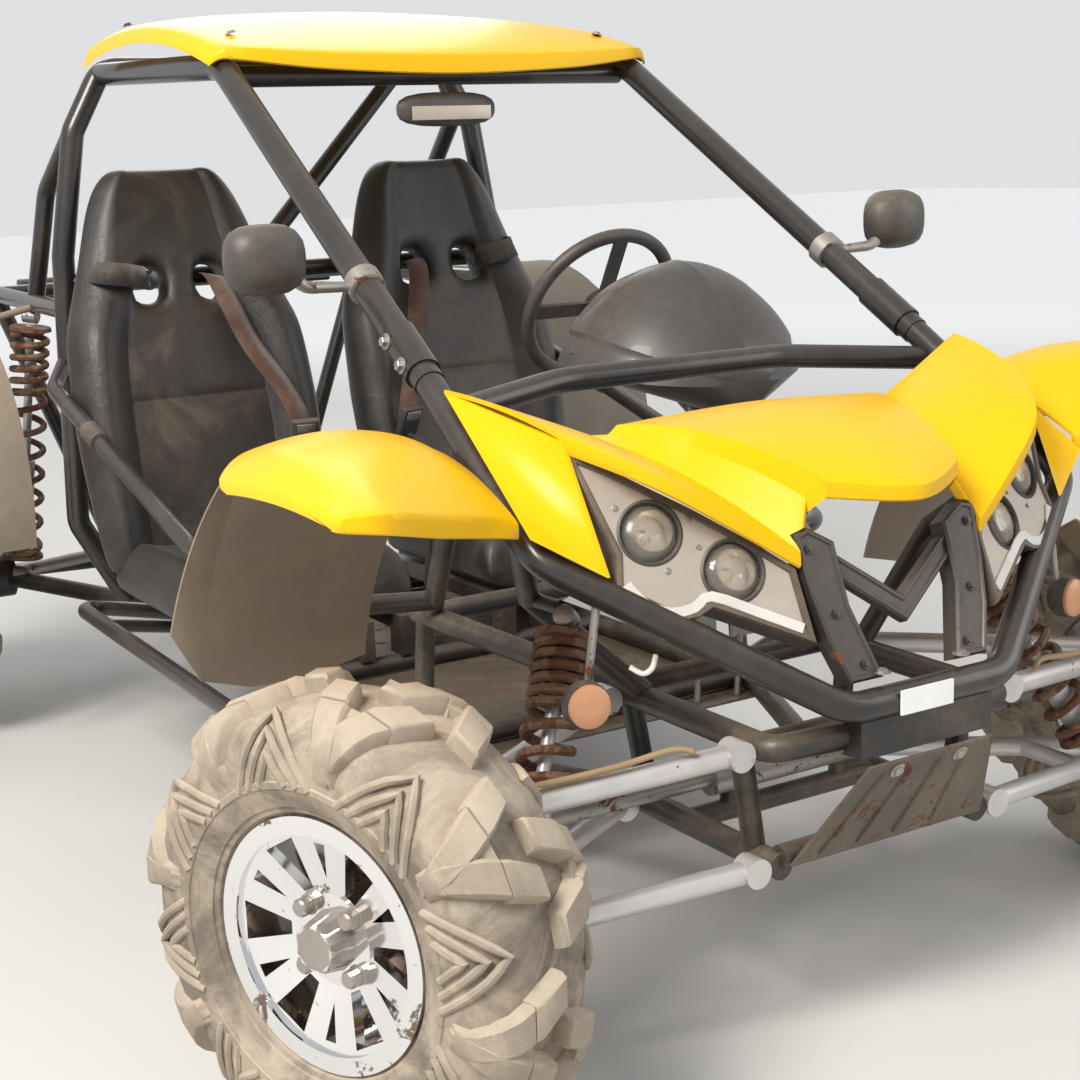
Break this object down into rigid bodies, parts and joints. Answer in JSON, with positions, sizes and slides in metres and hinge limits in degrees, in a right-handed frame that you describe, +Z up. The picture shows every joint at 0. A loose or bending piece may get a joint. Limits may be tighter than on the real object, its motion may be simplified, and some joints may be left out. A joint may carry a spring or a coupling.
{
  "type": "dune buggy",
  "caption": "Open off-road buggy with a tube cage, moulded nose, roof and fenders, bucket seats, wishbone front suspension and lugged tyres.",
  "frame": {"origin": "on the ground under the middle of the vehicle", "axes": "+Z up, -Y to the front of the vehicle, +X to its left, where the driver sits"},
  "size_m": [2.017, 3.0367, 1.5868],
  "materials": {
    "tyre_rubber": "dusty black rubber, worn",
    "bright_rim": "chromed alloy with dull, peeling patches",
    "brake_steel": "machined face, rust at the edge",
    "bare_steel": "bare grey metal with rust specks",
    "silver_arm": "silver paint, chipped and rusting",
    "cage_black": "satin black paint with chips",
    "frame_black": "black paint, dusty",
    "body_panel": "glossy yellow moulded panel, dusty and scuffed",
    "seat_cover": "padded black cover",
    "dark_plastic": "textured dark plastic",
    "engine_metal": "cast metal, dull",
    "exhaust_metal": "heat-stained metal",
    "spring_rust": "rusty coil spring",
    "clear_glass": "clear lens",
    "lamp_glass": "amber and red lenses",
    "mirror_glass": "mirror in a dark housing",
    "plate_white": "blank white plate"
  },
  "bodies": {
    "chassis": {"cabin_mirror": "mirror_glass", "cage_braces": "cage_black", "cage_hoop": "cage_black", "cage_pillars": "cage_black", "cowl_blades": "body_panel", "cross_tubes": "frame_black", "dash_tube": "cage_black", "door_mirrors": "mirror_glass", "engine": "engine_metal", "exhaust": "exhaust_metal", "floor_pan": "bare_steel", "front_cowl": "body_panel", "front_fenders": "body_panel", "front_lower_arms": "silver_arm", "front_mud_flaps": "body_panel", "front_plate": "plate_white", "front_shocks": "spring_rust", "front_upper_arms": "silver_arm", "gear_lever": "dark_plastic", "grille_guard": "frame_black", "half_shafts": "bare_steel", "headlamp_lenses": "clear_glass", "headlamps": "dark_plastic", "instrument_pod": "dark_plastic", "lower_rails": "frame_black", "nose_tube": "frame_black", "pedals": "bare_steel", "rear_arms": "frame_black", "rear_bumper": "frame_black", "rear_fenders": "body_panel", "rear_frame": "cage_black", "rear_shocks": "spring_rust", "roof_panel": "body_panel", "seat_left": "seat_cover", "seat_rails": "frame_black", "seat_right": "seat_cover", "shock_towers": "frame_black", "side_bars": "frame_black", "sill_bars": "frame_black", "skid_plate": "bare_steel", "steering_column": "bare_steel", "steering_rack": "bare_steel", "tail_lamps": "lamp_glass", "turn_lamps": "lamp_glass", "upper_rails": "frame_black"},
    "knuckle_left": {"knuckle_left": "bare_steel"},
    "wheel_front_left": {"tyre_front_left": "tyre_rubber", "rim_front_left": "bright_rim", "brake_disc_front_left": "brake_steel"},
    "wheel_rear_left": {"tyre_rear_left": "tyre_rubber", "rim_rear_left": "bright_rim"},
    "knuckle_right": {"knuckle_right": "bare_steel"},
    "wheel_front_right": {"tyre_front_right": "tyre_rubber", "rim_front_right": "bright_rim", "brake_disc_front_right": "brake_steel"},
    "wheel_rear_right": {"tyre_rear_right": "tyre_rubber", "rim_rear_right": "bright_rim"},
    "tie_rods": {"tie_rods": "bare_steel"},
    "steering_wheel": {"steering_wheel": "dark_plastic"}
  },
  "joints": [
    {"name": "steer_right", "type": "hinge", "parent": "chassis", "child": "knuckle_right", "pos_m": [-0.722, -1.153, 0.33], "axis": [0, 0, 1], "range_deg": [-53.24, 10.76]},
    {"name": "steer_left", "type": "hinge", "parent": "chassis", "child": "knuckle_left", "pos_m": [0.722, -1.153, 0.33], "axis": [0, 0, 1], "range_deg": [-53.24, 10.76]},
    {"name": "tie_rod_slide", "type": "slide", "parent": "chassis", "child": "tie_rods", "axis": [1, 0, 0], "range_m": [-0.0196, 0.0963]},
    {"name": "steering_wheel_turn", "type": "hinge", "parent": "chassis", "child": "steering_wheel", "pos_m": [0.34, -0.054, 0.976], "axis": [0, 0.866, 0.5], "range_deg": [-426.2, 86.2]},
    {"name": "front_left_spin", "type": "hinge", "parent": "knuckle_left", "child": "wheel_front_left", "pos_m": [0.80589, -1.1204, 0.33], "axis": [0.9321, 0.3623, 0], "continuous": true},
    {"name": "front_right_spin", "type": "hinge", "parent": "knuckle_right", "child": "wheel_front_right", "pos_m": [-0.80589, -1.18561, 0.33], "axis": [0.9321, 0.3623, 0], "continuous": true},
    {"name": "rear_left_spin", "type": "hinge", "parent": "chassis", "child": "wheel_rear_left", "pos_m": [0.812, 1.147, 0.33], "axis": [1, 0, 0], "continuous": true},
    {"name": "rear_right_spin", "type": "hinge", "parent": "chassis", "child": "wheel_rear_right", "pos_m": [-0.812, 1.147, 0.33], "axis": [1, 0, 0], "continuous": true}
  ],
  "couplings": [
    {"joint": "steer_left", "follows": "steer_right", "ratio": 1},
    {"joint": "tie_rod_slide", "follows": "steer_right", "m_per_rad": -0.1035},
    {"joint": "steering_wheel_turn", "follows": "steer_right", "ratio": 8}
  ]
}
